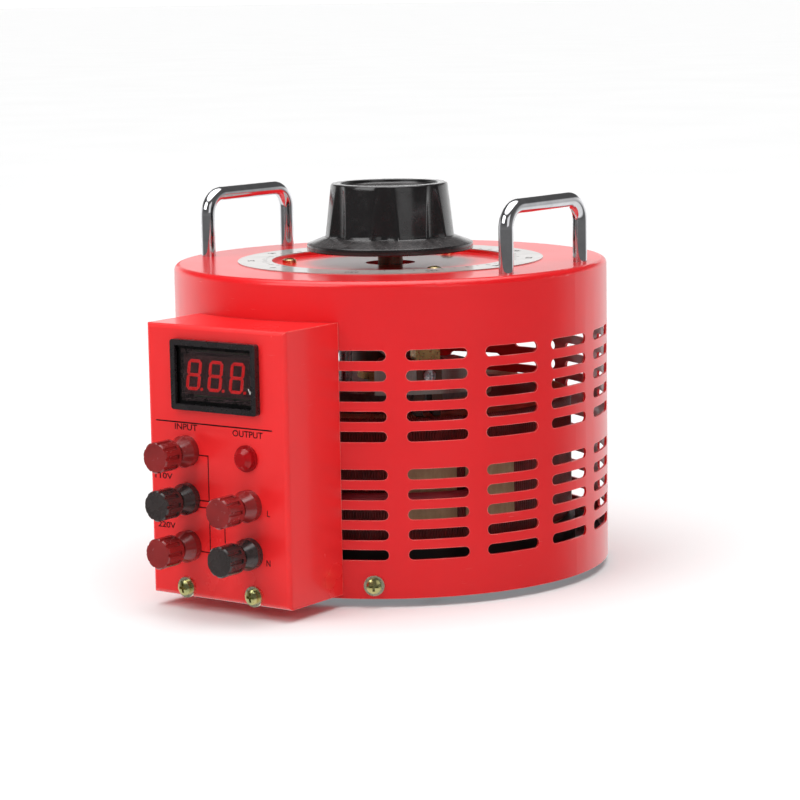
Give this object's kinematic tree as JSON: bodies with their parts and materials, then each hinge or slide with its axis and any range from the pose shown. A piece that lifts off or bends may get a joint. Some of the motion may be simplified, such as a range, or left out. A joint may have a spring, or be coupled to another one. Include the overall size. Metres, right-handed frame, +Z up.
{
  "type": "variable autotransformer",
  "caption": "Bench variable autotransformer: ring coil, brush arm and top knob under a slotted drum cover, with bow handles and a front terminal box with digital voltmeter and binding posts.",
  "frame": {"origin": "the shaft's axis at the underside of the steel base plate, which is the centre of its four fixing holes; the rubber feet stand 4 mm lower", "axes": "+Z up along the shaft towards the knob; -Y out of the terminal box's front panel, so the object is longest along Y; +X to the right of someone who faces the panel"},
  "size_m": [0.208, 0.2622, 0.185],
  "materials": {
    "drum_red": "gloss enamel",
    "panel_red": "gloss enamel",
    "base_steel": "zinc plated sheet",
    "foot_rubber": "moulded",
    "yellow_zinc": "yellow zinc",
    "washer_zinc": "pale zinc",
    "handle_chrome": "bright chrome",
    "zinc_steel": "bright zinc",
    "dial_metal": "printed sheet",
    "top_screw_brass": "turned",
    "meter_black": "moulded",
    "meter_window": "clear tinted",
    "board_green": "laminate",
    "led_grey": "moulded",
    "led_red": "lit",
    "lamp_red": "clear tinted",
    "nickel": "nickel plated",
    "post_red": "moulded",
    "post_black": "moulded",
    "brass": "turned",
    "core_steel": "wound strip",
    "winding_enamel": "enamelled wire",
    "pressboard": "pressboard",
    "lead_red": "extruded sleeve",
    "lead_black": "extruded sleeve",
    "seat_black": "moulded",
    "clamp_metal": "cast",
    "shaft_steel": "browned",
    "knob_black": "moulded",
    "hub_brown": "moulded",
    "arm_metal": "rolled sheet",
    "carbon": "sintered carbon"
  },
  "bodies": {
    "chassis": {"base_plate": "base_steel", "rubber_feet": "foot_rubber", "drum_cover": "drum_red", "panel_box": "panel_red", "case_screws": "yellow_zinc", "case_washers": "washer_zinc", "handle_left": "handle_chrome", "handle_right": "handle_chrome", "zinc_screws": "zinc_steel", "dial_plate": "dial_metal", "top_screws": "top_screw_brass", "top_nuts": "zinc_steel", "meter_case": "meter_black", "meter_window": "meter_window", "meter_board": "board_green", "led_module": "led_grey", "led_segments": "led_red", "lamp_lens": "lamp_red", "lamp_body": "lamp_red", "lamp_nut": "zinc_steel", "red_post_feet": "post_red", "black_post_feet": "post_black", "post_studs": "brass", "post_insulators": "seat_black", "post_nuts": "brass", "post_lugs": "nickel", "core": "core_steel", "winding": "winding_enamel", "pressboard_rings": "pressboard", "fish_paper": "pressboard", "tap_lead": "lead_red", "coil_seat": "seat_black", "clamp_disc": "clamp_metal", "tie_bolts": "zinc_steel", "shaft_bushes": "brass", "stop_pin": "zinc_steel", "brush_contact": "brass", "input_leads": "lead_red", "output_leads": "lead_black"},
    "rotor": {"shaft": "shaft_steel", "knob": "knob_black", "knob_screw": "zinc_steel", "arm_hub": "hub_brown", "brush_arm": "arm_metal", "slip_ring": "brass", "brush_holder": "hub_brown", "brush_cap": "brass", "arm_screws": "zinc_steel", "brush_springs": "zinc_steel"},
    "brushes": {"carbon_brushes": "carbon"},
    "input_top_washer": {"input_top_washer": "nickel"},
    "input_top_cap": {"input_top_cap": "post_red"},
    "input_middle_washer": {"input_middle_washer": "nickel"},
    "input_middle_cap": {"input_middle_cap": "post_black"},
    "input_bottom_washer": {"input_bottom_washer": "nickel"},
    "input_bottom_cap": {"input_bottom_cap": "post_red"},
    "output_live_washer": {"output_live_washer": "nickel"},
    "output_live_cap": {"output_live_cap": "post_red"},
    "output_neutral_washer": {"output_neutral_washer": "nickel"},
    "output_neutral_cap": {"output_neutral_cap": "post_black"}
  },
  "joints": [
    {"name": "rotor_turn", "type": "hinge", "parent": "chassis", "child": "rotor", "pos_m": [0, 0, 0.12], "axis": [0, 0, 1], "range_deg": [-26.5, 293.5]},
    {"name": "brush_press", "type": "slide", "parent": "rotor", "child": "brushes", "axis": [0, 0, 1], "range_m": [0, 0.002], "stiffness_N_per_m": 300, "springref_m": -0.01, "deforming": ["brush_springs"]},
    {"name": "input_top_travel", "type": "slide", "parent": "chassis", "child": "input_top_washer", "axis": [0, -1, 0], "range_m": [0, 0.004]},
    {"name": "input_top_turn", "type": "hinge", "parent": "input_top_washer", "child": "input_top_cap", "pos_m": [-0.0175, -0.1511, 0.0689], "axis": [0, -1, 0], "range_deg": [0, 1810]},
    {"name": "input_middle_travel", "type": "slide", "parent": "chassis", "child": "input_middle_washer", "axis": [0, -1, 0], "range_m": [0, 0.004]},
    {"name": "input_middle_turn", "type": "hinge", "parent": "input_middle_washer", "child": "input_middle_cap", "pos_m": [-0.0175, -0.1511, 0.0472], "axis": [0, -1, 0], "range_deg": [0, 1810]},
    {"name": "input_bottom_travel", "type": "slide", "parent": "chassis", "child": "input_bottom_washer", "axis": [0, -1, 0], "range_m": [0, 0.004]},
    {"name": "input_bottom_turn", "type": "hinge", "parent": "input_bottom_washer", "child": "input_bottom_cap", "pos_m": [-0.0175, -0.1511, 0.0255], "axis": [0, -1, 0], "range_deg": [0, 1810]},
    {"name": "output_live_travel", "type": "slide", "parent": "chassis", "child": "output_live_washer", "axis": [0, -1, 0], "range_m": [0, 0.004]},
    {"name": "output_live_turn", "type": "hinge", "parent": "output_live_washer", "child": "output_live_cap", "pos_m": [0.0175, -0.1511, 0.0472], "axis": [0, -1, 0], "range_deg": [0, 1810]},
    {"name": "output_neutral_travel", "type": "slide", "parent": "chassis", "child": "output_neutral_washer", "axis": [0, -1, 0], "range_m": [0, 0.004]},
    {"name": "output_neutral_turn", "type": "hinge", "parent": "output_neutral_washer", "child": "output_neutral_cap", "pos_m": [0.0175, -0.1511, 0.0255], "axis": [0, -1, 0], "range_deg": [0, 1810]}
  ],
  "couplings": [
    {"joint": "input_top_turn", "follows": "input_top_travel", "rad_per_m": 7854},
    {"joint": "input_middle_turn", "follows": "input_middle_travel", "rad_per_m": 7854},
    {"joint": "input_bottom_turn", "follows": "input_bottom_travel", "rad_per_m": 7854},
    {"joint": "output_live_turn", "follows": "output_live_travel", "rad_per_m": 7854},
    {"joint": "output_neutral_turn", "follows": "output_neutral_travel", "rad_per_m": 7854}
  ]
}
